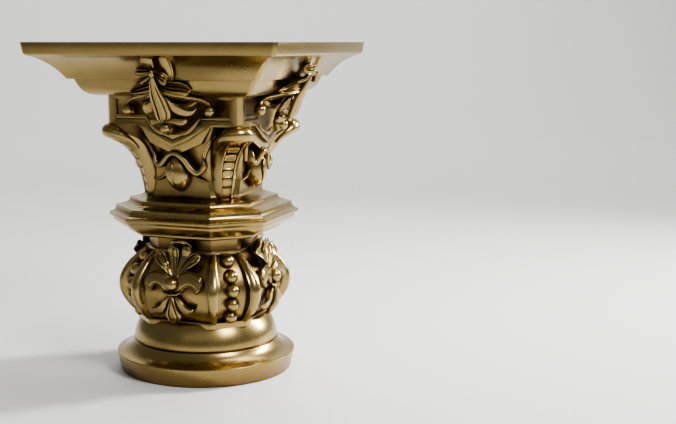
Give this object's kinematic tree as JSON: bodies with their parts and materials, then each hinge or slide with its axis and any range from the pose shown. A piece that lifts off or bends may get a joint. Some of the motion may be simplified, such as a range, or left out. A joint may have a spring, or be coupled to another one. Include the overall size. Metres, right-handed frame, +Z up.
{
  "type": "column capital",
  "caption": "Cast gilt column capital with a square moulded abacus, leafy frieze, corner brackets, octagonal ring, beaded drum and round base.",
  "frame": {"origin": "centre of the round base's underside", "axes": "+Z up the column's axis; the four decorated main faces look along -Y, +X, +Y and -X"},
  "size_m": [0.4, 0.4, 0.51],
  "materials": {
    "gilt_bronze": "satin gilt bronze, dark in the hollows and rubbed bright on the edges"
  },
  "bodies": {
    "root": {"capital": "gilt_bronze"}
  },
  "joints": []
}
